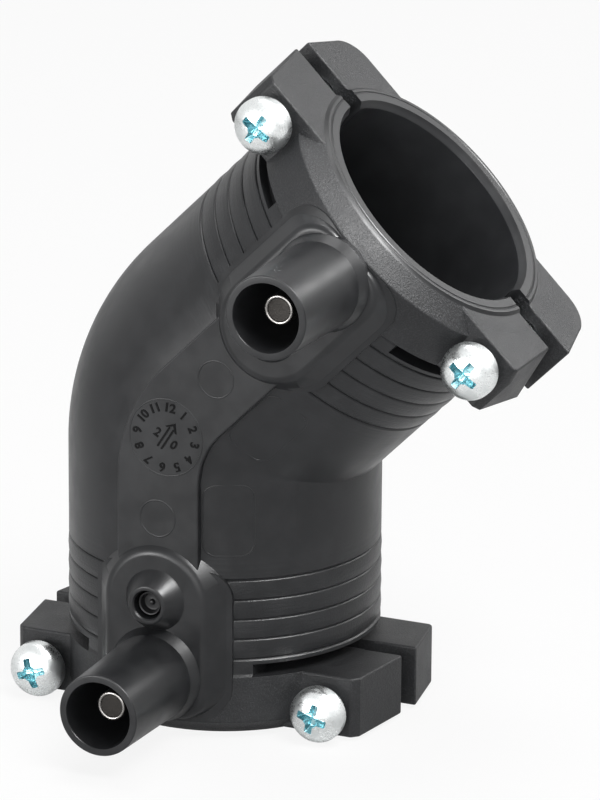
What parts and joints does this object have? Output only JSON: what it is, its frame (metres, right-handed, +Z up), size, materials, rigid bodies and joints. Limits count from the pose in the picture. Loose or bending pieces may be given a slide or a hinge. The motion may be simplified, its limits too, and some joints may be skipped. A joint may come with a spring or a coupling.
{
  "type": "electrofusion pipe elbow",
  "caption": "Black 45 degree electrofusion pipe elbow with screw clamps at its mouths, shrouded welding terminals and fusion indicators.",
  "frame": {"origin": "under the middle of the part's bounding box, in the plane of the lower mouth lip that it stands on", "axes": "+Z up along the lower socket's axis, -Y towards the terminals, +X towards the side that the upper socket leans to"},
  "size_m": [0.0786, 0.0636, 0.0947],
  "materials": {
    "polyethylene": "satin black moulding",
    "zinc_plated_steel": "bright zinc plating",
    "tinned_pin": "turned and tinned",
    "indicator_plastic": "smooth black"
  },
  "bodies": {
    "root": {"elbow_body": "polyethylene", "clamp_screw_lower_left": "zinc_plated_steel", "clamp_screw_lower_right": "zinc_plated_steel", "clamp_screw_upper_left": "zinc_plated_steel", "clamp_screw_upper_right": "zinc_plated_steel", "contact_pin_lower": "tinned_pin", "contact_pin_upper": "tinned_pin", "fusion_indicator_lower": "indicator_plastic", "fusion_indicator_upper": "indicator_plastic"}
  },
  "joints": []
}
